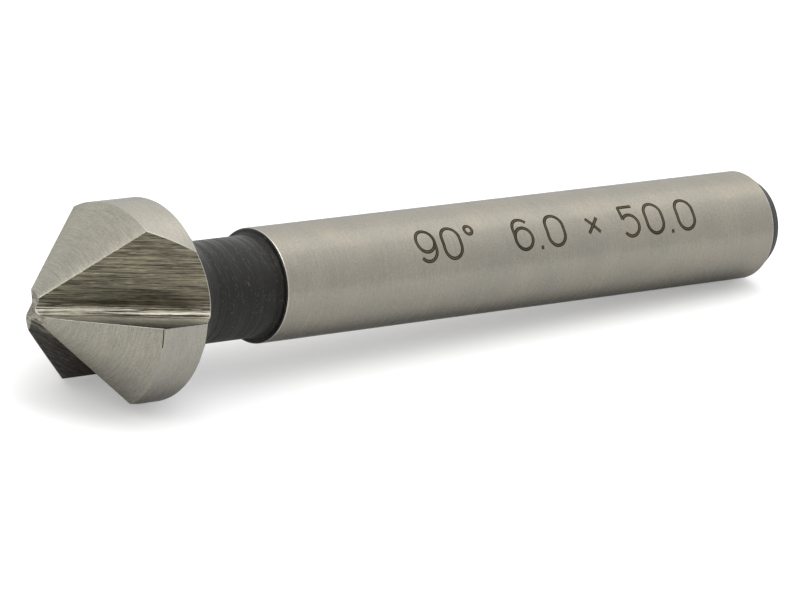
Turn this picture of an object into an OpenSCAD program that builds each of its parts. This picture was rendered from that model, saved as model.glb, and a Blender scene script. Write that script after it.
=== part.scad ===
// Three-flute 90 degree countersink bit for a drill chuck, turned and ground from one
// piece of high speed steel.
// It lies as it comes to rest on a flat surface: one flute faces straight down, and the
// rear edge of the head and the rear end of the shank touch the ground.
// Origin: on the ground, under the middle of the bounding box. X runs from the cutting
// tip to the rear of the shank, Y across the bit, Z up. All sizes in mm.

/* [Overall] */
// length from the tip to the rear face of the shank
overall_len = 50; // [48:1:70]
// shank diameter, the part held in the chuck
shank_d = 6; // [5.6:0.1:6.4]
// shank length
shank_len = 36; // [30:0.5:36.5]

/* [Head] */
// largest diameter of the head
head_d = 10.4; // [9.8:0.1:11.6]
// included angle of the cutting cone
point_angle = 90; // [84:1:100]
// diameter at the front corners of the cutting edges
tip_d = 2.6; // [2.2:0.1:3]
// height of the shallow point on the front end
tip_rise = 0.3; // [0.2:0.05:0.4]
// length of the cylindrical land behind the cutting cone
land_len = 2.8; // [2.4:0.1:3.2]
// slope of the bevel on the back of the head, measured from the axis
back_angle = 45; // [40:1:60]

/* [Flutes and relief] */
// angle between the two walls of a flute
flute_angle = 86; // [80:1:90]
// angle at which the root of a flute climbs outwards from the axis
root_slope = 27.8; // [26:0.2:30]
// distance of the sharp root line from the axis, level with the front cutting corners
root_start = 0.17; // [0.15:0.01:0.3]
// radius ground in the root of a flute
root_r = 0.42; // [0.3:0.02:0.5]
// sideways shift of the axis about which each relieved cone is ground
relief_shift = 0.45; // [0.2:0.05:0.5]
// angle by which that shift leads the cutting edge
relief_lead = 48; // [35:1:60]

/* [Neck and shank ends] */
// diameter of the undercut neck
neck_d = 5.3; // [4.9:0.1:5.4]
// radius where the neck meets the back of the head
head_fillet = 1; // [0.5:0.1:1.5]
// radius where the neck meets the shoulder
shoulder_fillet = 0.2; // [0.1:0.02:0.24]
// edge break at the front of the shank
edge_break = 0.08; // [0.04:0.01:0.1]
// length of the chamfer at the rear of the shank
end_chamfer = 0.95; // [0.6:0.05:1.2]
// depth of that chamfer
end_chamfer_drop = 0.55; // [0.3:0.05:0.7]

/* [Hidden] */
$fn = 96;

flutes = 3;
pitch = 360 / flutes;
head_r = head_d / 2;
shank_r = shank_d / 2;
neck_r = neck_d / 2;
tip_r = tip_d / 2;
cone_slope = tan(point_angle / 2);

// heights along the tool axis, from the tip
z_edge = tip_rise;
z_corner = z_edge + (head_r - tip_r) / cone_slope;
z_back = z_corner + land_len;
z_neck = z_back + (head_r - neck_r) / tan(back_angle);
z_shoulder = overall_len - shank_len;
z_chamfer = overall_len - end_chamfer;

// relieved cone: shifted off the axis, passing through the outer cutting corner
relief_axis = relief_shift * [cos(relief_lead), -sin(relief_lead)];
relief_r = norm([head_r, 0] - relief_axis);
relief_apex = z_corner - relief_r / cone_slope;
// sector that holds one lobe, reaching just past the head
sector_r = 1.1 * head_r;
sector_angles = [-10, 25, 60, 95];
sector_top = relief_apex + (sector_r + relief_shift + 0.1) / cone_slope;

// flute section: walls tangent to the root circle
root_tangent = root_r / tan(flute_angle / 2);
flute_reach = 1.8 * head_r;
flute_lead_in = 1.5;
flute_run = flute_lead_in + (head_r + 1) / sin(root_slope);

// opening of one flute at the rear edge of the land, between its two corners
back_root = root_start + (z_back - z_edge) * tan(root_slope);
wall_x = cos(flute_angle) / cos(root_slope);
wall_y = sin(flute_angle);
wall_sq = wall_x * wall_x + wall_y * wall_y;
wall_dot = back_root * wall_x;
wall_len = (sqrt(wall_dot * wall_dot + wall_sq * (head_r * head_r - back_root * back_root)) - wall_dot)
    / wall_sq;
half_gap = atan2(wall_y * wall_len, back_root + wall_x * wall_len) / 2;

// rest: two rear corners of the land and the rear of the shank on the ground
tilt = atan2(head_r * cos(half_gap) - shank_r, z_chamfer - z_back);
rest_height = shank_r * cos(tilt) + z_chamfer * sin(tilt);
half_length = (overall_len * cos(tilt) + (shank_r - end_chamfer_drop) * sin(tilt)) / 2;

// fills an inside corner at p between two walls that run off at angles a and b
module corner_fillet(p, a, b, r) {
    half = (b - a) / 2;
    mid = (a + b) / 2;
    inward = [cos(mid), sin(mid)];
    centre = p + r / sin(half) * inward;
    run = r / tan(half);
    difference() {
        polygon([p - r / 2 * inward, p + run * [cos(a), sin(a)], centre, p + run * [cos(b), sin(b)]]);
        translate(centre) circle(r);
    }
}

// half section of the turned body, radius along x and tool axis along y
module body_section() {
    polygon([
        [0, 0],
        [head_r, head_r * tip_rise / tip_r],
        [head_r, z_back],
        [neck_r, z_neck],
        [neck_r, z_shoulder],
        [shank_r - edge_break, z_shoulder],
        [shank_r, z_shoulder + edge_break],
        [shank_r, z_chamfer],
        [shank_r - end_chamfer_drop, overall_len],
        [0, overall_len]
    ]);
    corner_fillet([neck_r, z_neck], back_angle - 90, 90, head_fillet);
    corner_fillet([neck_r, z_shoulder], -90, 0, shoulder_fillet);
}

// stock ground off one lobe so that its cone falls away behind the cutting edge
module relief_cut() {
    difference() {
        translate([0, 0, -tip_rise])
            linear_extrude(sector_top + tip_rise)
                polygon(concat([[0, 0]], [for (a = sector_angles) sector_r * [cos(a), sin(a)]]));
        translate([relief_axis[0], relief_axis[1], relief_apex])
            cylinder(h = sector_top - relief_apex + 1, r1 = 0,
                r2 = (sector_top - relief_apex + 1) * cone_slope);
    }
}

// cross section of the grinding wheel: cutting face on y = 0, heel wall below it
module wheel_section() {
    heel = [cos(flute_angle), -sin(flute_angle)];
    centre = [root_tangent, -root_r];
    polygon([
        [root_tangent, 0],
        [flute_reach, 0],
        [flute_reach, -flute_reach],
        flute_reach * heel,
        root_tangent * heel,
        centre
    ]);
    translate(centre) circle(root_r);
}

// one flute, its cutting face in the radial plane y = 0
module flute_cut() {
    translate([root_start, 0, z_edge])
        rotate([0, root_slope, 0])
            translate([0, 0, -flute_lead_in])
                linear_extrude(flute_run) wheel_section();
}

// the whole tool about its own axis, tip at the origin
module tool() {
    difference() {
        rotate_extrude() body_section();
        for (i = [0 : flutes - 1])
            rotate([0, 0, half_gap + i * pitch]) {
                relief_cut();
                flute_cut();
            }
    }
}

module countersink_bit() {
    color([0.62, 0.61, 0.58])
        translate([-half_length, 0, rest_height])
            rotate([0, 90 + tilt, 0])
                tool();
}

countersink_bit();
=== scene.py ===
from math import atan2, cos, pi, radians, sin, sqrt, tan

import bpy
from bpy.props import CollectionProperty, FloatProperty, FloatVectorProperty, PointerProperty
from mathutils import Matrix, Vector


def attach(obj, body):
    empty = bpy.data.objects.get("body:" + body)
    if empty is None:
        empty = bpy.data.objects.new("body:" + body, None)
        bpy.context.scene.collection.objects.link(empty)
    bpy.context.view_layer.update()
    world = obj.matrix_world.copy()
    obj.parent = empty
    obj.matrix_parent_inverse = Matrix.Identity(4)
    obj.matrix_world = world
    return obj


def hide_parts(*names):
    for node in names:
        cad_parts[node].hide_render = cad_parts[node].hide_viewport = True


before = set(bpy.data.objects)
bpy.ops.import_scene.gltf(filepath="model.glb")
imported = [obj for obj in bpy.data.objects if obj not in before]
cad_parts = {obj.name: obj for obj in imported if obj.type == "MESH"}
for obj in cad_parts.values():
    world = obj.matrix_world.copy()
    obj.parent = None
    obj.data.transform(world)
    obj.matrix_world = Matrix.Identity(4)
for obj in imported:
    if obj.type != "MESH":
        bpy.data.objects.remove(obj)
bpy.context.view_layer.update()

bl_info = {
    "name": "Countersink bit",
    "version": (1, 0, 0),
    "blender": (4, 5, 0),
    "location": "View3D > Sidebar > Countersink",
    "description": "Turns, grinds, marks and lays down a three-flute countersink bit in a pale studio",
    "category": "Object",
}

NODE = "countersink_bit"
BODY = "root"
MM = 0.001
FLUTES = 3
ROUND_STEPS = 240
FULL_TURN = 2 * pi
WELD = 0.0005 * MM
STEEL_SHINE = 0.35
REAR_SHINE = 0.1
# Length of the painted shade line behind each front corner, between cone and land
PAINTED_SHADE_LINE = 1.1 * MM


# Settings

def length(name, description, default):
    return FloatProperty(name=name, description=description, default=default, min=0, precision=5,
                         unit="LENGTH", subtype="DISTANCE")


def angle(name, description, default):
    return FloatProperty(name=name, description=description, default=radians(default),
                         unit="ROTATION", subtype="ANGLE")


def colour(name, description, default):
    return FloatVectorProperty(name=name, description=description, default=default, size=3,
                               min=0, max=1, subtype="COLOR")


def amount(name, description, default):
    return FloatProperty(name=name, description=description, default=default, min=0, precision=3)


class BitSizes(bpy.types.PropertyGroup):
    """Sizes that the lathe and the grinder are set to"""

    overall_len: length("Overall length", "From the tip to the rear face of the shank", 50 * MM)
    shank_d: length("Shank diameter", "The part held in the chuck", 6 * MM)
    shank_len: length("Shank length", "From the shoulder to the rear face", 36 * MM)
    head_d: length("Head diameter", "Largest diameter of the head", 10.4 * MM)
    point_angle: angle("Point angle", "Included angle of the cutting cone", 90)
    tip_d: length("Tip diameter", "Diameter at the front corners of the cutting edges", 2.6 * MM)
    tip_rise: length("Tip rise", "Height of the shallow point on the front end", 0.3 * MM)
    land_len: length("Land length", "Cylindrical land behind the cutting cone", 2.8 * MM)
    back_angle: angle("Back angle", "Slope of the bevel on the back of the head", 45)
    flute_angle: angle("Flute angle", "Between the two walls of a flute", 86)
    root_slope: angle("Root slope", "Climb of a flute's root from the axis", 27.8)
    root_start: length("Root start", "Sharp root line to the axis, at the front corners", 0.17 * MM)
    root_r: length("Root radius", "Radius ground in the root of a flute", 0.42 * MM)
    relief_shift: length("Relief shift", "Sideways shift of the axis of a relieved cone", 0.45 * MM)
    relief_lead: angle("Relief lead", "Angle by which the shift leads the cutting edge", 48)
    neck_d: length("Neck diameter", "Undercut between head and shank", 5.3 * MM)
    head_fillet: length("Head fillet", "Radius between neck and head", 1 * MM)
    shoulder_fillet: length("Shoulder fillet", "Radius between neck and shoulder", 0.2 * MM)
    edge_break: length("Edge break", "At the front edge of the shank", 0.08 * MM)
    end_chamfer: length("End chamfer", "Length of the chamfer at the rear", 0.95 * MM)
    end_chamfer_drop: length("End chamfer depth", "Depth of the chamfer at the rear", 0.55 * MM)
    edge_width: length("Edge width", "Width of the fine rounding left on every ground edge", 0.03 * MM)


class Measures:
    """Heights along the tool axis from the tip, radii, and the way the bit rests."""

    def __init__(self, s):
        self.head_r = s.head_d / 2
        self.shank_r = s.shank_d / 2
        self.neck_r = s.neck_d / 2
        self.tip_r = s.tip_d / 2
        self.cone_slope = tan(s.point_angle / 2)
        self.z_corner = s.tip_rise + (self.head_r - self.tip_r) / self.cone_slope
        self.z_back = self.z_corner + s.land_len
        self.z_neck = self.z_back + (self.head_r - self.neck_r) / tan(s.back_angle)
        self.z_shoulder = s.overall_len - s.shank_len
        self.z_chamfer = s.overall_len - s.end_chamfer
        self.end_r = self.shank_r - s.end_chamfer_drop
        self.half_gap = self.flute_opening(s) / 2
        drop = self.head_r * cos(self.half_gap) - self.shank_r
        self.tilt = atan2(drop, self.z_chamfer - self.z_back)
        self.rest_height = self.shank_r * cos(self.tilt) + self.z_chamfer * sin(self.tilt)
        self.half_length = (s.overall_len * cos(self.tilt) + self.end_r * sin(self.tilt)) / 2

    def flute_opening(self, s):
        """Angle between a flute's two corners at the rear edge of the land."""
        root = s.root_start + (self.z_back - s.tip_rise) * tan(s.root_slope)
        wall = Vector((cos(s.flute_angle) / cos(s.root_slope), sin(s.flute_angle)))
        along = root * wall.x
        reach = self.head_r ** 2 - root ** 2
        wall_len = (sqrt(along ** 2 + wall.length_squared * reach) - along) / wall.length_squared
        return atan2(wall.y * wall_len, root + wall.x * wall_len)

    def cutting_face(self, number):
        """Azimuth of one flute's cutting face."""
        return self.half_gap + number * FULL_TURN / FLUTES

    def resting(self):
        """From the tool axis standing upright, as it is modelled, to the bit lying at rest."""
        place = Matrix.Translation((-self.half_length, 0, self.rest_height))
        return place @ Matrix.Rotation(pi / 2 + self.tilt, 4, "Y")


# Modelling helpers

def deselect():
    if bpy.context.object and bpy.context.object.mode != "OBJECT":
        bpy.ops.object.mode_set(mode="OBJECT")
    bpy.ops.object.select_all(action="DESELECT")


def activate(piece):
    deselect()
    piece.select_set(True)
    bpy.context.view_layer.objects.active = piece


def arc(centre, radius, start, end, steps):
    """Points of an arc, both ends included."""
    step = (end - start) / steps
    turns = [start + i * step for i in range(steps + 1)]
    return [centre + radius * Vector((cos(turn), sin(turn))) for turn in turns]


def corner_arc(corner, towards, after, radius, steps):
    """Points of the arc that rounds a corner between the directions to its two neighbours."""
    a = (towards - corner).normalized()
    b = (after - corner).normalized()
    half = a.angle(b) / 2
    centre = corner + (a + b).normalized() * radius / sin(half)
    start = corner + a * radius / tan(half) - centre
    end = corner + b * radius / tan(half) - centre
    first = atan2(start.y, start.x)
    turn = start.angle_signed(end)
    return arc(centre, radius, first, first - turn, steps)


def draw_chain(name, points):
    """A chain of edges extruded from one vertex through the points, left in edit mode."""
    deselect()
    bpy.ops.mesh.primitive_plane_add(size=MM)
    piece = bpy.context.object
    piece.name = name
    bpy.ops.object.mode_set(mode="EDIT")
    bpy.ops.mesh.merge(type="CENTER")
    bpy.ops.transform.translate(value=points[0])
    for start, end in zip(points, points[1:]):
        bpy.ops.mesh.extrude_vertices_move(TRANSFORM_OT_translate={"value": end - start})
    bpy.ops.mesh.select_all(action="SELECT")
    return piece


def face_outward():
    """Turns every face of the piece in edit mode outward, and leaves edit mode."""
    bpy.ops.mesh.select_all(action="SELECT")
    bpy.ops.mesh.normals_make_consistent(inside=False)
    bpy.ops.object.mode_set(mode="OBJECT")


def draw_prism(name, outline, height):
    """A closed outline in the plane z = 0, filled and extruded upwards."""
    prism = draw_chain(name, [point.to_3d() for point in outline])
    bpy.ops.mesh.edge_face_add()
    bpy.ops.mesh.extrude_region_move(TRANSFORM_OT_translate={"value": (0, 0, height)})
    face_outward()
    return prism


def apply_place(piece):
    activate(piece)
    bpy.ops.object.transform_apply(location=True, rotation=True, scale=True)


def turn_about_axis(piece, turn):
    """Turns a cutter about the tool axis."""
    piece.matrix_world = Matrix.Rotation(turn, 4, "Z") @ piece.matrix_world
    apply_place(piece)


def apply_modifier(piece, kind, **settings):
    modifier = piece.modifiers.new(kind.title(), kind)
    for name, value in settings.items():
        setattr(modifier, name, value)
    activate(piece)
    bpy.ops.object.modifier_apply(modifier=modifier.name)


def cut(piece, cutter):
    """Takes the cutter out of the piece; the new faces keep the cutter's finish."""
    apply_modifier(piece, "BOOLEAN", operation="DIFFERENCE", solver="EXACT", material_mode="TRANSFER",
                   object=cutter)
    bpy.data.objects.remove(cutter)


# The bit

def turned_outline(s, m):
    """Half outline of the turned blank, distance from the axis and height."""
    head = Vector((m.head_r, m.z_back))
    neck_front = Vector((m.neck_r, m.z_neck))
    neck_back = Vector((m.neck_r, m.z_shoulder))
    rim = Vector((m.shank_r - s.edge_break, m.z_shoulder))
    shank_front = Vector((m.shank_r, m.z_shoulder + s.edge_break))
    return [
        Vector((0, 0)),
        Vector((m.head_r, m.head_r * s.tip_rise / m.tip_r)),
        head,
        *corner_arc(neck_front, head, neck_back, s.head_fillet, steps=12),
        *corner_arc(neck_back, neck_front, rim, s.shoulder_fillet, steps=8),
        rim,
        shank_front,
        Vector((m.shank_r, m.z_chamfer)),
        Vector((m.end_r, s.overall_len)),
        Vector((0, s.overall_len)),
    ]


def turn_blank(s, m):
    outline = turned_outline(s, m)
    blank = draw_chain("bit_body", [Vector((point.x, 0, point.y)) for point in outline])
    bpy.ops.mesh.spin(steps=ROUND_STEPS, angle=FULL_TURN, center=(0, 0, 0), axis=(0, 0, 1))
    bpy.ops.mesh.select_all(action="SELECT")
    bpy.ops.mesh.remove_doubles(threshold=WELD)
    face_outward()
    return blank


def paint_blank(blank, s, m, finishes):
    """Gives each turned or ground ring of the blank its finish."""
    for finish in finishes.values():
        blank.data.materials.append(finish)
    order = list(finishes)
    for face in blank.data.polygons:
        z = face.center.z
        if z < m.head_r * s.tip_rise / m.tip_r:
            name = "tip"
        elif z < m.z_back:
            name = "land"
        elif z < m.z_shoulder + s.edge_break or z > m.z_chamfer:
            name = "oxide"
        else:
            name = "shank"
        face.material_index = order.index(name)


def relief_cutter(s, m, finish):
    """Stock ground off one lobe, so that its cone falls away behind the cutting edge."""
    axis = s.relief_shift * Vector((cos(s.relief_lead), -sin(s.relief_lead)))
    radius = (Vector((m.head_r, 0)) - axis).length
    apex = m.z_corner - radius / m.cone_slope
    sector_r = 1.1 * m.head_r
    margin = 0.1 * MM
    top = apex + (sector_r + s.relief_shift + margin) / m.cone_slope
    rim_turns = [radians(turn) for turn in (-10, 25, 60, 95)]
    rim = [sector_r * Vector((cos(turn), sin(turn))) for turn in rim_turns]
    stock = draw_prism("relief_stock", [Vector((0, 0)), *rim], top + s.tip_rise)
    stock.location.z = -s.tip_rise
    stock.data.materials.append(finish)
    height = top - apex + MM
    deselect()
    bpy.ops.mesh.primitive_cone_add(vertices=2 * ROUND_STEPS, radius1=0, radius2=height * m.cone_slope,
                                    depth=height, location=(axis.x, axis.y, apex + height / 2))
    cone = bpy.context.object
    cone.data.materials.append(finish)
    apply_place(stock)
    apply_place(cone)
    cut(stock, cone)
    return stock


def flute_cutter(s, m, finish):
    """The grinding wheel's path through one flute, its cutting face in the plane y = 0."""
    tangent = s.root_r / tan(s.flute_angle / 2)
    reach = 1.8 * m.head_r
    lead_in = 1.5 * MM
    run = lead_in + (m.head_r + MM) / sin(s.root_slope)
    heel = Vector((cos(s.flute_angle), -sin(s.flute_angle)))
    root = arc(Vector((tangent, -s.root_r)), s.root_r, 1.5 * pi - s.flute_angle, pi / 2, steps=20)
    wheel = draw_prism("flute", [Vector((reach, 0)), Vector((reach, -reach)), reach * heel, *root], run)
    wheel.data.materials.append(finish)
    lead = Matrix.Translation((0, 0, -lead_in))
    wheel.matrix_world = (Matrix.Translation((s.root_start, 0, s.tip_rise))
                          @ Matrix.Rotation(s.root_slope, 4, "Y") @ lead)
    apply_place(wheel)
    return wheel


def grind_head(blank, s, m, finishes):
    for number in range(FLUTES):
        relief = relief_cutter(s, m, finishes["cone"])
        flute = flute_cutter(s, m, finishes[f"flute_{number + 1}"])
        for cutter in (relief, flute):
            turn_about_axis(cutter, m.cutting_face(number))
            cut(blank, cutter)


def break_edges(body, s, finish):
    """Rounds every sharp edge a little, as stoning after the grind does."""
    slivers = 0.012 * MM
    activate(body)
    bpy.ops.object.mode_set(mode="EDIT")
    bpy.ops.mesh.select_all(action="SELECT")
    bpy.ops.mesh.remove_doubles(threshold=slivers)
    bpy.ops.object.mode_set(mode="OBJECT")
    # The bevel faces take the edge finish, lighter than the ground steel: a painted highlight along every
    # rounded edge
    body.data.materials.append(finish)
    apply_modifier(body, "BEVEL", width=s.edge_width, segments=2, limit_method="ANGLE",
                   angle_limit=radians(25), use_clamp_overlap=False, material=len(body.data.materials) - 1)


class TrueSurfaces:
    """Normals of the exact surfaces, so that facets and cut borders don't show."""

    def __init__(self, s, m):
        self.pitch = FULL_TURN / FLUTES
        self.first = m.half_gap
        self.slope = m.cone_slope
        self.tip_slope = m.tip_r / s.tip_rise
        axis = s.relief_shift * Vector((cos(s.relief_lead), -sin(s.relief_lead), 0))
        turns = [Matrix.Rotation(m.cutting_face(number), 3, "Z") for number in range(FLUTES)]
        self.relief_axes = [turn @ axis for turn in turns]
        slope = Matrix.Rotation(s.root_slope, 3, "Y")
        tangent = s.root_r / tan(s.flute_angle / 2)
        start = Vector((s.root_start, 0, s.tip_rise)) + slope @ Vector((tangent, -s.root_r, 0))
        self.roots = [(turn @ start, turn @ slope @ Vector((0, 0, 1)), s.root_r) for turn in turns]

    def cone(self, point, axis, slope):
        out = (point - axis) * Vector((1, 1, 0))
        return (out.normalized() - Vector((0, 0, slope))).normalized()

    def normal(self, finish, point, flat):
        if finish in ("land", "shank"):
            return (point * Vector((1, 1, 0))).normalized()
        if finish == "tip":
            return self.cone(point, Vector(), self.tip_slope)
        if finish == "cone":
            lobe = int((atan2(flat.y, flat.x) - self.first) % FULL_TURN // self.pitch)
            return self.cone(point, self.relief_axes[lobe], self.slope)
        start, along, radius = self.roots[int(finish[-1]) - 1]
        inward = start - point
        inward -= inward.dot(along) * along
        on_root = abs(inward.length - radius) < 0.01 * radius
        return inward.normalized() if on_root else flat


def set_true_normals(body, s, m, finishes):
    surfaces = TrueSurfaces(s, m)
    mesh = body.data
    names = list(finishes) + ["edge"]
    kinds = [names[face.material_index] for face in mesh.polygons]
    border = {}
    for face, kind in zip(mesh.polygons, kinds):
        for key in face.edge_keys:
            border.setdefault(key, set()).add(kind)
    for edge in mesh.edges:
        edge.use_edge_sharp = len(border[edge.key]) > 1
    activate(body)
    bpy.ops.object.shade_smooth(keep_sharp_edges=True)
    normals = [corner.vector.copy() for corner in mesh.corner_normals]
    beside = {}
    for face, kind in zip(mesh.polygons, kinds):
        for corner in face.loop_indices:
            vertex = mesh.loops[corner].vertex_index
            if kind == "edge":
                continue
            if kind != "oxide":
                normals[corner] = surfaces.normal(kind, mesh.vertices[vertex].co, face.normal)
            beside.setdefault(vertex, []).append(normals[corner])
    for face, kind in zip(mesh.polygons, kinds):
        for corner in face.loop_indices:
            near = beside.get(mesh.loops[corner].vertex_index)
            if kind == "edge" and near:
                normals[corner] = sum(near, Vector()).normalized()
    mesh.normals_split_custom_set([tuple(normal) for normal in normals])


def paint_edge_highlight_and_shade(body, m, finishes):
    """Edge strips keep the lighter edge finish, a painted highlight, where they should catch the light; the
    others take another finish by the surfaces on their two sides, the oxide where a painted shade line
    runs.
    """
    names = list(finishes) + ["edge"]
    mesh = body.data
    beside = [set() for _ in mesh.vertices]
    strip = []
    for face in mesh.polygons:
        if names[face.material_index] == "edge":
            strip.append(face)
            continue
        for vertex in face.vertices:
            beside[vertex].add(names[face.material_index])
    across = {}
    for face in strip:
        kinds = set().union(*(beside[vertex] for vertex in face.vertices))
        for vertex in face.vertices:
            across.setdefault(vertex, set()).update(kinds)
    for face in strip:
        kinds = set().union(*(across[vertex] for vertex in face.vertices))
        face.material_index = names.index(edge_finish(kinds, face.center, m))


def edge_finish(kinds, point, m):
    """The finish of an edge strip between surfaces of these kinds: the edge finish is a painted highlight,
    and behind a front corner, along the cone and land and along the land's cutting edge, the oxide is a
    painted shade line.
    """
    slack = 0.02
    behind = (atan2(point.y, point.x) - m.half_gap + slack) % (FULL_TURN / FLUTES)
    # Behind a front corner the cone and land edge takes the oxide: a painted shade line
    if kinds == {"cone", "land"}:
        return "oxide" if behind * m.head_r < PAINTED_SHADE_LINE else "land"
    if kinds == {"cone", "tip"}:
        return "cone"
    if kinds == {"oxide"}:
        return "oxide"
    for number in range(FLUTES):
        flute = f"flute_{number + 1}"
        if kinds == {"cone", flute} and below_face(point, m.cutting_face(number)):
            return flute
        # Along the land's cutting edge the strip takes the oxide: a painted shade line
        if kinds == {"land", flute} and behind < pi / FLUTES:
            return "oxide"
    return "edge"


def below_face(point, turn):
    """Whether a point lies on the heel's side of a flute, clear of its cutting face."""
    clear = 0.1 * MM
    return point.y * cos(turn) - point.x * sin(turn) < -clear


# Finishes

class BitFinishes(bpy.types.PropertyGroup):
    """Colours of the steel, ground bright or left dark from the furnace, and painted highlights and shade
    for the edges and the flutes
    """

    shank: colour("Shank", "Satin ground shank", (0.288, 0.272, 0.234))
    cone: colour("Cone", "Relieved cones and the front end", (0.3, 0.288, 0.246))
    land: colour("Land", "Cylindrical land of the head", (0.325, 0.313, 0.276))
    # Edge: lighter than the ground steel, a painted highlight along the rounded edges
    edge: colour("Edge", "Stoned edges", (0.45, 0.432, 0.385))
    # Heel wall: rough ground steel, its colour kept dark as painted shade, and darker still near the root
    # in flute_steel
    heel: colour("Heel wall", "The rough wall of a flute", (0.152, 0.139, 0.101))
    # Rake face: ground steel, its colour kept dark as painted shade
    rake: colour("Rake face", "The wall of a flute below the cutting edge", (0.145, 0.139, 0.128))
    # Rake shine: a painted highlight on the rake face near the root; its reach is set per flute, far longer
    # on the third, so that one flute's rake face looks lit and the others shaded
    shine: colour("Rake shine", "The rake face close to the root", (0.6, 0.57, 0.485))
    # Root: a painted highlight, lighter than the flute walls
    root: colour("Root", "Burnished root of the flutes", (0.26, 0.247, 0.204))
    painted_highlight_reach: FloatVectorProperty(name="Reach of the shine", description="From each flute's root",
                                     default=(0.9 * MM, 0.9 * MM, 3.2 * MM), size=FLUTES, min=0,
                                     precision=5, unit="LENGTH")
    etched: colour("Etched", "The numbers marked on the shank", (0.1, 0.082, 0.052))
    oxide: colour("Oxide", "Dark skin on the neck and the rear end", (0.0098, 0.0093, 0.0086))
    scuff: colour("Scuffs", "Fine scuffs in the dark skin", (0.05, 0.048, 0.043))


def new_group(name, inputs, outputs):
    """An empty node group with named sockets, given as name, socket type and default."""
    group = bpy.data.node_groups.new(name, "ShaderNodeTree")
    for label, kind, default in inputs:
        group.interface.new_socket(label, in_out="INPUT", socket_type=kind).default_value = default
    for label, kind in outputs:
        group.interface.new_socket(label, in_out="OUTPUT", socket_type=kind)
    return group, group.nodes.new("NodeGroupInput"), group.nodes.new("NodeGroupOutput")


def add_node(tree, kind, place, **settings):
    """A node at a column and row; settings are its properties."""
    node = tree.nodes.new(kind)
    node.location = (place[0] * 200, -place[1] * 220)
    for name, value in settings.items():
        setattr(node, name, value)
    return node


def join(tree, source, target):
    tree.links.new(source, target)


def feed(tree, value, socket):
    """Joins a socket to another, or sets it to a number or a colour."""
    if isinstance(value, bpy.types.NodeSocket):
        join(tree, value, socket)
    elif isinstance(value, (int, float)):
        socket.default_value = value
    else:
        socket.default_value = (*value, 1)


def combine(tree, place, operation, *values):
    """A Math node on sockets and plain numbers."""
    node = add_node(tree, "ShaderNodeMath", place, operation=operation)
    for value, socket in zip(values, node.inputs):
        feed(tree, value, socket)
    return node.outputs[0]


def spread(tree, place, value, start, end, low, high, kind="LINEAR"):
    """Carries the range from start to end over to the range from low to high."""
    node = add_node(tree, "ShaderNodeMapRange", place, interpolation_type=kind)
    for part, socket in zip((value, start, end, low, high), node.inputs):
        feed(tree, part, socket)
    return node.outputs["Result"]


def fade(tree, place, value, start, end):
    """1 before start, 0 past end, smooth between."""
    return spread(tree, place, value, start, end, 1, 0, "SMOOTHSTEP")


def mix_colours(tree, place, factor, low, high):
    """Colour that goes from low to high; each is a colour or a socket."""
    mix = add_node(tree, "ShaderNodeMix", place, data_type="RGBA")
    feed(tree, factor, mix.inputs[0])
    feed(tree, low, mix.inputs[6])
    feed(tree, high, mix.inputs[7])
    return mix.outputs[2]


def scale_colour(tree, place, shade, level):
    """A colour socket made darker or lighter by another socket."""
    node = add_node(tree, "ShaderNodeVectorMath", place, operation="SCALE")
    join(tree, shade, node.inputs[0])
    join(tree, level, node.inputs["Scale"])
    return node.outputs[0]


def multiply(tree, place, first, second):
    """Two vectors or colours, multiplied part by part; the second may be plain numbers."""
    node = add_node(tree, "ShaderNodeVectorMath", place, operation="MULTIPLY")
    join(tree, first, node.inputs[0])
    if isinstance(second, bpy.types.NodeSocket):
        join(tree, second, node.inputs[1])
    else:
        node.inputs[1].default_value = second
    return node.outputs[0]


def noise_level(tree, place, vector, scale, detail, roughness):
    noise = add_node(tree, "ShaderNodeTexNoise", place)
    noise.inputs["Scale"].default_value = scale
    noise.inputs["Detail"].default_value = detail
    noise.inputs["Roughness"].default_value = roughness
    join(tree, vector, noise.inputs["Vector"])
    return noise.outputs["Fac"]


def scaled(shade, level):
    return tuple(min(1, part * level) for part in shade)


def marks_group():
    """Wheel or tool marks: noise stretched by a number of marks per metre along each axis."""
    name = "Machining marks"
    if name in bpy.data.node_groups:
        return bpy.data.node_groups[name]
    group, given, result = new_group(
        name,
        [("Vector", "NodeSocketVector", (0, 0, 0)), ("Marks", "NodeSocketVector", (1000, 1000, 1000))],
        [(label, "NodeSocketFloat") for label in ("Fine", "Coarse", "Scratches", "Height")])
    given.location.x = -400
    stretched = multiply(group, (0, 0), given.outputs["Vector"], given.outputs["Marks"])
    layers = (("Fine", 1, 3, 0.32, 0.68), ("Coarse", 0.23, 2, 0.36, 0.64), ("Scratches", 1.7, 1, 0.56, 0.7))
    levels = {}
    for row, (label, scale, detail, start, end) in enumerate(layers):
        noise = noise_level(group, (1, row), stretched, scale, detail, roughness=0.6)
        levels[label] = spread(group, (2, row), noise, start, end, 0, 1, "SMOOTHSTEP")
        join(group, levels[label], result.inputs[label])
    height = combine(group, (3, 0), "MULTIPLY_ADD", levels["Fine"], 0.4, levels["Coarse"])
    join(group, height, result.inputs["Height"])
    result.location.x = 1000
    return group


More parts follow.
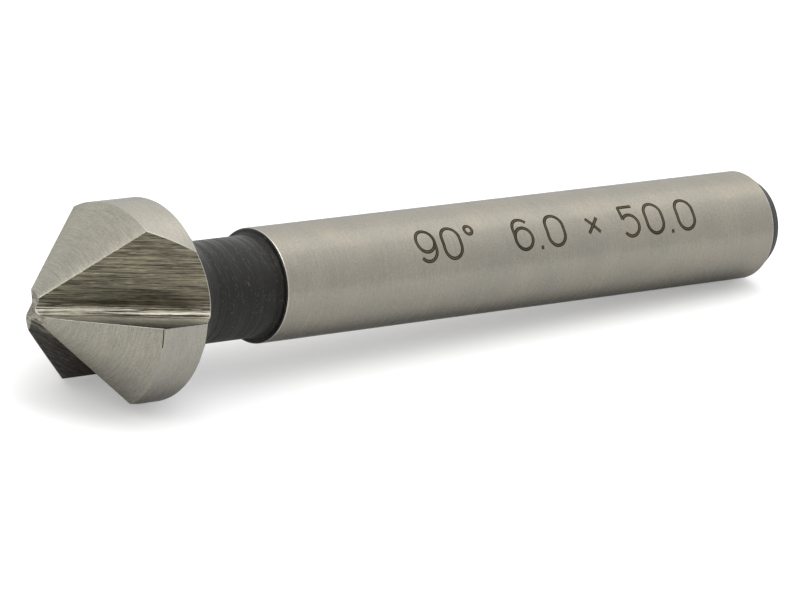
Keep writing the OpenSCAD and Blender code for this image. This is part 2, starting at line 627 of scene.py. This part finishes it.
def tone_group():
    """Steel colour that drifts a little over the surface and darkens along the marks."""
    name = "Steel tone"
    if name in bpy.data.node_groups:
        return bpy.data.node_groups[name]
    group, given, result = new_group(
        name,
        [("Vector", "NodeSocketVector", (0, 0, 0)), ("Color", "NodeSocketColor", (0.5, 0.5, 0.5, 1)),
         ("Marks", "NodeSocketFloat", 0.5), ("Contrast", "NodeSocketFloat", 0.2),
         ("Grain", "NodeSocketFloat", 0.2), ("Drift", "NodeSocketFloat", 0.1)],
        [("Color", "NodeSocketColor")])
    given.location.x = -400
    warm = noise_level(group, (0, 0), given.outputs["Vector"], scale=420, detail=3, roughness=0.55)
    grain = noise_level(group, (0, 1), given.outputs["Vector"], scale=12000, detail=2, roughness=0.6)
    tint = mix_colours(group, (1, 0), warm, (0.96, 1, 1.04), (1.05, 1, 0.94))
    away = combine(group, (1, 1), "SUBTRACT", given.outputs["Marks"], 0.5)
    marked = combine(group, (2, 1), "MULTIPLY_ADD", away, given.outputs["Contrast"], 1)
    speck = combine(group, (1, 2), "SUBTRACT", grain, 0.5)
    grained = combine(group, (2, 2), "MULTIPLY_ADD", speck, given.outputs["Grain"], marked)
    drift = spread(group, (2, 3), warm, start=0.3, end=0.7, low=-1, high=1)
    swing = combine(group, (3, 2), "MULTIPLY_ADD", drift, given.outputs["Drift"], grained)
    tinted = multiply(group, (3, 0), given.outputs["Color"], tint)
    join(group, scale_colour(group, (4, 0), tinted, swing), result.inputs["Color"])
    result.location.x = 1200
    return group


def surface_vector(tree, place):
    """Object coordinates moved and turned into a tool's or a wheel's own axes."""
    coordinates = add_node(tree, "ShaderNodeTexCoord", (-6, 0))
    mapping = add_node(tree, "ShaderNodeMapping", (-5, 0), vector_type="POINT")
    back = place.inverted()
    mapping.inputs["Location"].default_value = back.translation
    mapping.inputs["Rotation"].default_value = back.to_euler()
    join(tree, coordinates.outputs["Object"], mapping.inputs["Vector"])
    return mapping.outputs["Vector"]


def add_marks(tree, place, name, vector, marks):
    """Machining marks, a number per metre along each axis of the vector."""
    node = add_node(tree, "ShaderNodeGroup", place, name=name, node_tree=marks_group())
    node.inputs["Marks"].default_value = marks
    join(tree, vector, node.inputs["Vector"])
    return node


def steel(name, shade, place, marks, roughness, depth, contrast, grain=0.3, drift=0.05, metallic=1.0):
    """Machined steel; marks are a number per metre along each of the axes that place gives."""
    material = bpy.data.materials.new(name)
    material.use_nodes = True
    tree = material.node_tree
    shader = tree.nodes["Principled BSDF"]
    shader.inputs["Metallic"].default_value = metallic
    shader.inputs["Specular IOR Level"].default_value = STEEL_SHINE
    shader.inputs["Specular Tint"].default_value = (0.6, 0.6, 0.6, 1)
    vector = surface_vector(tree, place)
    lines = add_marks(tree, (-4, 1), "Marks", vector, marks)
    tone = add_node(tree, "ShaderNodeGroup", (-3, 0), name="Tone", node_tree=tone_group())
    for label, value in (("Contrast", contrast), ("Grain", grain), ("Drift", drift)):
        tone.inputs[label].default_value = value
    tone.inputs["Color"].default_value = (*shade, 1)
    join(tree, vector, tone.inputs["Vector"])
    join(tree, lines.outputs["Fine"], tone.inputs["Marks"])
    join(tree, tone.outputs["Color"], shader.inputs["Base Color"])
    rough = spread(tree, (-2, 1), lines.outputs["Coarse"], 0, 1, *roughness)
    join(tree, rough, shader.inputs["Roughness"])
    bump = add_node(tree, "ShaderNodeBump", (-2, 2))
    bump.inputs["Strength"].default_value = 1
    bump.inputs["Distance"].default_value = depth
    join(tree, lines.outputs["Height"], bump.inputs["Height"])
    join(tree, bump.outputs["Normal"], shader.inputs["Normal"])
    return material


def joined_to(node, label):
    """The socket that a node's input is joined to."""
    return node.inputs[label].links[0].from_socket


def bit_finishes(colours, s, m):
    """Each surface's finish, by the name that paint_blank and grind_head use."""
    axis = m.resting()
    finishes = {
        "shank": steel("ground_shank", colours.shank, axis, (600, 600, 24000), (0.21, 0.28),
                       depth=0.00014 * MM, contrast=0.08, grain=0.55),
        "cone": steel("ground_cone", colours.cone, axis, (1200, 1200, 20000), (0.22, 0.3),
                      depth=0.0004 * MM, contrast=0.2, grain=0.7),
        "tip": steel("ground_tip", colours.cone, axis, (5000, 600, 9000), (0.3, 0.42),
                     depth=0.002 * MM, contrast=0.8, grain=0.9),
        "land": steel("ground_land", colours.land, axis, (900, 900, 20000), (0.22, 0.3),
                      depth=0.0003 * MM, contrast=0.12, grain=0.5),
        "oxide": oxide_steel(colours, axis, m),
    }
    for number in range(FLUTES):
        finishes[f"flute_{number + 1}"] = flute_steel(colours, s, m, number)
    return finishes


def oxide_steel(colours, axis, m):
    """Dark skin from the furnace, turned, a little scuffed by handling, and duller at the rear."""
    material = steel("dark_oxide", colours.oxide, axis, (250, 250, 16000), (0.42, 0.6),
                     depth=0.0016 * MM, contrast=0.4, metallic=0.0)
    tree = material.node_tree
    shader = tree.nodes["Principled BSDF"]
    scuff_run = Vector((0.26, -0.65, -0.7)).to_track_quat("Y", "Z").to_matrix().to_4x4()
    scuffs = add_marks(tree, (-4, 3), "Scuffs", surface_vector(tree, scuff_run), (9000, 800, 9000))
    patches = combine(tree, (-3, 3), "MULTIPLY", scuffs.outputs["Scratches"], scuffs.outputs["Coarse"])
    shade = mix_colours(tree, (-2, 3), patches, joined_to(shader, "Base Color"), colours.scuff)
    join(tree, shade, shader.inputs["Base Color"])
    split = add_node(tree, "ShaderNodeSeparateXYZ", (-4, 5))
    join(tree, joined_to(tree.nodes["Marks"], "Vector"), split.inputs[0])
    shine = spread(tree, (-2, 5), split.outputs["Z"], m.z_chamfer - 2 * MM, m.z_chamfer - MM,
                   low=STEEL_SHINE, high=REAR_SHINE)
    join(tree, shine, shader.inputs["Specular IOR Level"])
    return material


def flute_steel(colours, s, m, number):
    """Flute walls, lined along the wheel's path, with a painted highlight in the root and on the rake face
    near it, and painted shade on the rest of the rake face and on the heel wall, deepest near the root.
    """
    turn = Matrix.Rotation(m.cutting_face(number), 4, "Z")
    root_line = Matrix.Translation((s.root_start, 0, s.tip_rise)) @ Matrix.Rotation(s.root_slope, 4, "Y")
    place = m.resting() @ (turn @ root_line)
    material = steel(f"flute_{number + 1}", colours.heel, place, (24000, 24000, 1000), (0.26, 0.38),
                     depth=0.0018 * MM, contrast=0.5, drift=0.12)
    tree = material.node_tree
    shader = tree.nodes["Principled BSDF"]
    lines = tree.nodes["Marks"]
    vector = joined_to(lines, "Vector")
    wheel = add_marks(tree, (-4, 6), "Wheel lines", vector, (52000, 52000, 1300))
    split = add_node(tree, "ShaderNodeSeparateXYZ", (-4, 3))
    join(tree, vector, split.inputs[0])
    from_root = add_node(tree, "ShaderNodeVectorMath", (-3, 4), operation="LENGTH")
    join(tree, multiply(tree, (-4, 4), vector, (1, 1, 0)), from_root.inputs[0])
    distance = from_root.outputs["Value"]
    uneven = combine(tree, (-2, 4), "MULTIPLY_ADD", lines.outputs["Coarse"], 0.25 * MM, distance)
    ragged = combine(tree, (-2, 5), "MULTIPLY_ADD", wheel.outputs["Coarse"], 0.8 * MM, distance)
    root_edge = 0.5 * MM
    on_root = fade(tree, (-1, 4), uneven, root_edge, 0.8 * MM)
    root_shade_fade = fade(tree, (-1, 5), distance, root_edge, 2.2 * MM)
    # Painted highlight: the zone of the rake face lit from the root out to each flute's reach
    painted_highlight_zone = fade(tree, (-1, 6), ragged, root_edge, colours.painted_highlight_reach[number])
    on_heel = fade(tree, (-1, 3), split.outputs["Y"], -0.03 * MM, -0.008 * MM)
    # Painted shade: the heel wall darkens towards the root of the flute
    outer_heel = scaled(colours.heel, 1.05)
    heel_painted_shade = scaled(colours.heel, 0.62)
    heel = mix_colours(tree, (0, 5), root_shade_fade, outer_heel, heel_painted_shade)
    # The rake face is dark as painted shade, and lit near the root as a painted highlight
    rake = mix_colours(tree, (0, 6), painted_highlight_zone, colours.rake, colours.shine)
    walls = mix_colours(tree, (1, 5), on_heel, rake, heel)
    # Painted highlight over the root of the flute
    middle = mix_colours(tree, (2, 5), on_root, walls, colours.root)
    streaky = combine(tree, (0, 7), "MAXIMUM", painted_highlight_zone, on_heel)
    level = streak_level(tree, lines, wheel, on_root, streaky)
    join(tree, scale_colour(tree, (3, 5), middle, level), tree.nodes["Tone"].inputs["Color"])
    off_heel = combine(tree, (0, 3), "SUBTRACT", 1, on_heel)
    shining = combine(tree, (1, 3), "MULTIPLY", painted_highlight_zone, off_heel)
    torn = combine(tree, (1, 4), "MAXIMUM", shining, on_root)
    rougher = combine(tree, (2, 9), "MULTIPLY_ADD", torn, 0.3, joined_to(shader, "Roughness"))
    join(tree, rougher, shader.inputs["Roughness"])
    return material


def streak_level(tree, lines, wheel, on_root, streaky):
    """How light or dark the wheel's lines leave the steel, most of all in the root."""
    swing = spread(tree, (1, 7), streaky, start=0, end=1, low=0.25, high=0.6)
    deeper = combine(tree, (1, 6), "MULTIPLY_ADD", on_root, 0.75, swing)
    weighted = combine(tree, (0, 8), "MULTIPLY_ADD", wheel.outputs["Fine"], 0.7, wheel.outputs["Coarse"])
    streak = spread(tree, (1, 8), weighted, start=0.15, end=1.55, low=-1, high=1)
    streaks = combine(tree, (2, 7), "MULTIPLY", deeper, streak)
    scratched = combine(tree, (3, 7), "MULTIPLY_ADD", lines.outputs["Scratches"], 0.9, streaks)
    level = combine(tree, (4, 7), "ADD", scratched, 0.9)
    return combine(tree, (5, 7), "MAXIMUM", level, 0.2)


class BIT_OT_body(bpy.types.Operator):
    """Turn the blank, grind its head, break its edges and lay it down"""

    bl_idname = "countersink.body"
    bl_label = "Bit"

    def execute(self, context):
        s = context.scene.bit_sizes
        m = Measures(s)
        colours = context.scene.bit_finishes
        finishes = bit_finishes(colours, s, m)
        # The edge finish is lighter than the ground steel: a painted highlight along the rounded edges
        edge = steel("edge_painted_highlight", colours.edge, m.resting(), (2000, 2000, 2000), (0.25, 0.35),
                     depth=0.0005 * MM, contrast=0.15)
        body = turn_blank(s, m)
        paint_blank(body, s, m, finishes)
        grind_head(body, s, m, finishes)
        break_edges(body, s, edge)
        set_true_normals(body, s, m, finishes)
        paint_edge_highlight_and_shade(body, m, finishes)
        body.matrix_world = m.resting()
        apply_place(body)
        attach(body, BODY)
        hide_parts(NODE)
        return {"FINISHED"}


# Numbers on the shank

class NumberSettings(bpy.types.PropertyGroup):
    """Plain sizes marked along the shank: cone angle, shank diameter and length"""

    start: length("Start", "Distance of the first number from the tip", 23.1 * MM)
    turn: angle("Baseline turn", "Where the foot of the numbers lies around the shank", -117.3)
    height: length("Height", "Height of a number", 1.9 * MM)
    half_width: length("Half width", "Radius of the round parts, to the middle of the line", 0.6 * MM)
    line: length("Line width", "Width of the etched line", 0.19 * MM)
    ring: length("Degree sign", "Radius of the degree sign, to the middle of the line", 0.25 * MM)
    spacing: length("Spacing", "Between neighbouring numbers", 0.38 * MM)
    word_gap: length("Gap", "Between two sizes", 2.2 * MM)
    times_gap: length("Gap at the cross", "On both sides of the multiplication cross", 1.2 * MM)
    proud: length("Skin", "How far the etched skin stands off the shank", 0.004 * MM)
    depth: length("Depth", "How deep the etched line reaches", 0.02 * MM)


def draw_stroke(start, heading, moves, line, lowered):
    """A flat line of even width; a move is a straight length, or a radius and a turn to the left."""
    deselect()
    bpy.ops.mesh.primitive_plane_add(size=line)
    stroke = bpy.context.object
    bpy.ops.object.mode_set(mode="EDIT")
    bpy.ops.mesh.merge(type="CENTER")
    ahead = Vector((cos(heading), sin(heading), 0))
    left = Vector((-ahead.y, ahead.x, 0))
    bpy.ops.transform.translate(value=start.to_3d() + left * line / 2 - Vector((0, 0, lowered)))
    bpy.ops.mesh.extrude_vertices_move(TRANSFORM_OT_translate={"value": -left * line})
    bpy.ops.object.mode_set(mode="OBJECT")
    across = stroke.data.attributes.new("across", "FLOAT", "POINT")
    across.data[0].value = 0
    across.data[1].value = 1
    bpy.ops.object.mode_set(mode="EDIT")
    bpy.ops.mesh.select_all(action="SELECT")
    point = start.copy()
    step = 0.15 * MM
    closer = 1.5
    for reach, turn in moves:
        if turn == 0:
            count = max(1, round(reach / step))
            onward = Vector((cos(heading), sin(heading))) * reach
            shift = (onward / count).to_3d()
            for _ in range(count):
                bpy.ops.mesh.extrude_region_move(TRANSFORM_OT_translate={"value": shift})
            point += onward
            continue
        side = 1 if turn > 0 else -1
        centre = point + side * reach * Vector((-sin(heading), cos(heading)))
        count = max(3, round(abs(turn) * reach / step * closer))
        bpy.ops.mesh.spin(steps=count, angle=-turn, center=centre.to_3d(), axis=(0, 0, 1))
        point = centre + Matrix.Rotation(turn, 2) @ (point - centre)
        heading += turn
    bpy.ops.mesh.select_all(action="SELECT")
    bpy.ops.mesh.remove_doubles(threshold=WELD)
    bpy.ops.object.mode_set(mode="OBJECT")
    return stroke


def glyph_strokes(glyph, n):
    """Strokes of one glyph about its own foot: start, heading and moves."""
    r = n.half_width
    foot = n.line / 2
    head = n.height - foot
    stem = head - foot - 2 * r
    half = pi
    if glyph == "0":
        return [(Vector((r, foot + r)), pi / 2, [(stem, 0), (r, half), (stem, 0), (r, half)])]
    if glyph == "degree":
        return [(Vector((n.ring, head - n.ring)), pi / 2, [(n.ring, FULL_TURN)])]
    if glyph == "point":
        return [(Vector((-n.line / 2, foot)), 0, [(n.line, 0)])]
    if glyph == "times":
        arm = 0.7 * r
        middle = n.height / 2
        reach = 2 * sqrt(2) * arm
        return [(Vector((-arm, middle - arm)), pi / 4, [(reach, 0)]),
                (Vector((-arm, middle + arm)), -pi / 4, [(reach, 0)])]
    if glyph == "5":
        bowl = Vector((-0.1 * r, foot + r))
        first = radians(142)
        round_bowl = radians(285)
        flag_end = 0.8 * r
        start = bowl + r * Vector((cos(first), sin(first)))
        flag = [(flag_end - start.x - foot, 0), (foot, pi / 2), (head - start.y - foot, 0)]
        return [(Vector((flag_end, head)), pi, flag),
                (start, first - pi / 2, [(r, -round_bowl)])]
    lean = radians(38)
    top = Vector((0, head - r))
    six = [(top + r * Vector((cos(lean), sin(lean))), lean + pi / 2,
            [(r, pi - lean), (stem, 0), (r, half)]),
           (Vector((r, foot + r)), pi / 2, [(r, half)])]
    if glyph == "6":
        return six
    middle = Vector((0, n.height))
    return [(middle - start, heading + pi, moves) for start, heading, moves in six]


def number_places(n):
    """Each glyph and how far along the line its middle stands."""
    full = 2 * n.half_width + n.line
    widths = {"degree": 2 * n.ring + n.line, "point": n.line, "times": full * 0.7}
    sizes = (
        (("9", "0", "degree"), n.word_gap),
        (("6", "point", "0"), n.times_gap),
        (("times",), n.times_gap),
        (("5", "0", "point", "0"), 0),
    )
    places = []
    along = 0
    for glyphs, gap in sizes:
        for glyph in glyphs:
            width = widths.get(glyph, full)
            places.append((glyph, along + width / 2))
            along += width + n.spacing
        along += gap
    return places


def wrap_round_shank(piece, s, n):
    """From the flat, along x and up y, onto the shank's surface."""
    radius = s.shank_d / 2
    for vertex in piece.data.vertices:
        x, y, z = vertex.co
        turn = n.turn - y / radius
        out = radius + n.proud + z
        vertex.co = Vector((out * cos(turn), out * sin(turn), n.start + x))


def etched_steel(colours, axis):
    """Scorched line, darkest along both of its sides, with the ground steel showing a little."""
    material = steel("etched_line", colours.etched, axis, (9000, 9000, 9000), (0.5, 0.65),
                     depth=0.002 * MM, contrast=0.5, drift=0.25)
    tree = material.node_tree
    across = add_node(tree, "ShaderNodeAttribute", (-4, 3), attribute_name="across")
    side = combine(tree, (-3, 3), "SUBTRACT", across.outputs["Fac"], 0.5)
    away = combine(tree, (-2, 3), "ABSOLUTE", side)
    ragged = combine(tree, (-1, 3), "MULTIPLY_ADD", tree.nodes["Marks"].outputs["Fine"], 0.12, away)
    inside = fade(tree, (0, 3), ragged, 0.14, 0.34)
    shade = mix_colours(tree, (1, 3), inside, scaled(colours.etched, 0.3), colours.etched)
    join(tree, shade, tree.nodes["Tone"].inputs["Color"])
    return material


class BIT_OT_numbers(bpy.types.Operator):
    """Etch the plain sizes along the shank"""

    bl_idname = "countersink.numbers"
    bl_label = "Numbers"

    def execute(self, context):
        s = context.scene.bit_sizes
        n = context.scene.bit_numbers
        m = Measures(s)
        strokes = []
        for glyph, along in number_places(n):
            for level, (start, heading, moves) in enumerate(glyph_strokes(glyph, n)):
                start = start + Vector((along, 0))
                strokes.append(draw_stroke(start, heading, moves, n.line, level * n.proud / 3))
        deselect()
        for stroke in strokes:
            stroke.select_set(True)
        piece = strokes[0]
        context.view_layer.objects.active = piece
        bpy.ops.object.join()
        piece.name = "shank_numbers"
        apply_place(piece)
        bpy.ops.object.mode_set(mode="EDIT")
        bpy.ops.mesh.select_all(action="SELECT")
        bpy.ops.mesh.extrude_region_move(TRANSFORM_OT_translate={"value": (0, 0, -n.depth)})
        face_outward()
        wrap_round_shank(piece, s, n)
        piece.data.materials.append(etched_steel(context.scene.bit_finishes, m.resting()))
        piece.matrix_world = m.resting()
        apply_place(piece)
        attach(piece, BODY)
        return {"FINISHED"}


# Studio

# Each softbox: name, azimuth and elevation in degrees, side in metres and power in watts
LAMPS = (
    ("key", 13, 47, 0.4, 0.08),
    ("side", 32, 28, 0.75, 0.27),
    ("top", -30, 86, 0.45, 1.45),
    ("left", -172, 40, 0.3, 1.15),
    ("right", -65, 62, 0.4, 0.87),
)


class LampSettings(bpy.types.PropertyGroup):
    """Where one softbox hangs, and how bright it is"""

    azimuth: angle("Azimuth", "Around the bit, from +X", 0)
    elevation: angle("Elevation", "Above the floor", 45)
    size: length("Size", "Side of its square cloth", 0.4)
    power: amount("Power", "Of the lamp in it, in watts", 1)


class StudioSettings(bpy.types.PropertyGroup):
    """Where the camera stands, and the light"""

    aim_x: FloatProperty(name="Aim along X", default=-0.41 * MM, unit="LENGTH", precision=5)
    aim_z: FloatProperty(name="Aim height", default=2.13 * MM, unit="LENGTH", precision=5)
    distance: length("Camera distance", "From the aim to the camera", 279.1 * MM)
    azimuth: angle("Camera azimuth", "Around the bit, from +X", -133.479)
    elevation: angle("Camera elevation", "Above the floor", 22.679)
    lean: angle("Camera lean", "How far the vertical leans to the right in the picture", 9.653)
    lens: FloatProperty(name="Lens", default=237.79, min=1, unit="CAMERA")
    floor_radius: length("Floor radius", "Round sheet of paper under the bit", 1.2)
    floor_white: amount("Floor white", "How much light the paper sends back", 0.66)
    floor_lift: amount("Floor lift", "Light added where the camera sees the paper", 0.305)
    mirror_lift: amount("Floor lift in the steel", "Light added where the steel mirrors the paper", 0.03)
    lamp_distance: length("Lamp distance", "From the bit to each softbox", 0.8)
    lamps: CollectionProperty(name="Lamps", description="Softboxes around the bit", type=LampSettings)
    room_light: amount("Light of the tent", "From all around", 0.655)
    far_light: amount("More on the far side", "Added behind the bit", 0.49)
    right_light: amount("More on the right side", "Added beyond the rear end", 0.3)


def list_lamps(studio):
    """Fills the list of lamps while it is empty."""
    if studio.lamps:
        return
    for name, azimuth, elevation, size, power in LAMPS:
        lamp = studio.lamps.add()
        lamp.name = name
        lamp.azimuth = radians(azimuth)
        lamp.elevation = radians(elevation)
        lamp.size = size
        lamp.power = power


def direction(azimuth, elevation):
    return Vector((cos(elevation) * cos(azimuth), cos(elevation) * sin(azimuth), sin(elevation)))


def place_camera(studio):
    aim = Vector((studio.aim_x, 0, studio.aim_z))
    out = direction(studio.azimuth, studio.elevation)
    bpy.ops.object.camera_add()
    camera = bpy.context.object
    camera.name = "photo_camera"
    turn = out.to_track_quat("Z", "Y").to_matrix().to_4x4() @ Matrix.Rotation(studio.lean, 4, "Z")
    camera.matrix_world = Matrix.Translation(aim + studio.distance * out) @ turn
    camera.data.lens = studio.lens
    camera.data.sensor_width = 36
    camera.data.clip_start = 0.01
    bpy.context.scene.camera = camera


def lay_floor(studio):
    """White paper; seen by the camera or in the steel, it is lifted a little towards plain white."""
    deselect()
    bpy.ops.mesh.primitive_circle_add(vertices=96, radius=studio.floor_radius, fill_type="NGON")
    floor = bpy.context.object
    floor.name = "floor"
    paper = bpy.data.materials.new("floor_paper")
    paper.use_nodes = True
    tree = paper.node_tree
    shader = tree.nodes["Principled BSDF"]
    shader.inputs["Base Color"].default_value = (*[studio.floor_white] * 3, 1)
    shader.inputs["Roughness"].default_value = 1
    shader.inputs["Specular IOR Level"].default_value = 0
    shader.inputs["Emission Color"].default_value = (1, 1, 1, 1)
    rays = add_node(tree, "ShaderNodeLightPath", (-4, 2))
    mirrored = combine(tree, (-3, 2), "MAXIMUM", rays.outputs["Is Glossy Ray"],
                       rays.outputs["Is Transmission Ray"])
    in_steel = combine(tree, (-2, 2), "MULTIPLY", mirrored, studio.mirror_lift)
    lift = combine(tree, (-1, 2), "MULTIPLY_ADD", rays.outputs["Is Camera Ray"], studio.floor_lift,
                   in_steel)
    join(tree, lift, shader.inputs["Emission Strength"])
    floor.data.materials.append(paper)


def hang_softbox(studio, lamp):
    out = direction(lamp.azimuth, lamp.elevation)
    bpy.ops.object.light_add(type="AREA", location=studio.lamp_distance * out)
    softbox = bpy.context.object
    softbox.name = f"{lamp.name}_softbox"
    softbox.rotation_euler = out.to_track_quat("Z", "Y").to_euler()
    softbox.data.shape = "SQUARE"
    softbox.data.size = lamp.size
    softbox.data.energy = lamp.power


def light_room(studio):
    """White tent, brighter behind the bit and to the right of it."""
    room = bpy.data.worlds.new("light_tent")
    room.use_nodes = True
    tree = room.node_tree
    light = tree.nodes["Background"]
    light.inputs["Color"].default_value = (1, 1, 1, 1)
    coordinates = add_node(tree, "ShaderNodeTexCoord", (-4, 0))
    split = add_node(tree, "ShaderNodeSeparateXYZ", (-3, 0))
    join(tree, coordinates.outputs["Generated"], split.inputs[0])
    far = spread(tree, (-2, 0), split.outputs["Y"], start=-0.8, end=0.1, low=0, high=studio.far_light,
                 kind="SMOOTHSTEP")
    right = spread(tree, (-2, 1), split.outputs["X"], start=-0.7, end=0.5, low=0, high=studio.right_light,
                   kind="SMOOTHSTEP")
    both = combine(tree, (-1, 0), "ADD", far, right)
    level = combine(tree, (-1, 1), "ADD", both, studio.room_light)
    join(tree, level, light.inputs["Strength"])
    bpy.context.scene.world = room


class BIT_OT_studio(bpy.types.Operator):
    """Lay the pale floor, hang the lights and set up the camera"""

    bl_idname = "countersink.studio"
    bl_label = "Studio"

    def execute(self, context):
        studio = context.scene.bit_studio
        context.scene.view_settings.view_transform = "Standard"
        lay_floor(studio)
        list_lamps(studio)
        for lamp in studio.lamps:
            hang_softbox(studio, lamp)
        light_room(studio)
        place_camera(studio)
        return {"FINISHED"}


# Add-on

class BIT_PT_panel(bpy.types.Panel):
    """Steps that make the bit, in order"""

    bl_label = "Countersink"
    bl_space_type = "VIEW_3D"
    bl_region_type = "UI"
    bl_category = "Countersink"

    def draw(self, context):
        for step in (BIT_OT_body, BIT_OT_numbers, BIT_OT_studio):
            self.layout.operator(step.bl_idname)


CLASSES = (BitSizes, BitFinishes, NumberSettings, LampSettings, StudioSettings, BIT_OT_body,
           BIT_OT_numbers, BIT_OT_studio, BIT_PT_panel)


def register():
    for kind in CLASSES:
        bpy.utils.register_class(kind)
    bpy.types.Scene.bit_sizes = PointerProperty(type=BitSizes)
    bpy.types.Scene.bit_finishes = PointerProperty(type=BitFinishes)
    bpy.types.Scene.bit_numbers = PointerProperty(type=NumberSettings)
    bpy.types.Scene.bit_studio = PointerProperty(type=StudioSettings)


def unregister():
    del bpy.types.Scene.bit_studio
    del bpy.types.Scene.bit_numbers
    del bpy.types.Scene.bit_finishes
    del bpy.types.Scene.bit_sizes
    for kind in reversed(CLASSES):
        bpy.utils.unregister_class(kind)


def main():
    register()
    bpy.ops.countersink.body()
    bpy.ops.countersink.numbers()
    bpy.ops.countersink.studio()


if __name__ == "__main__":
    main()
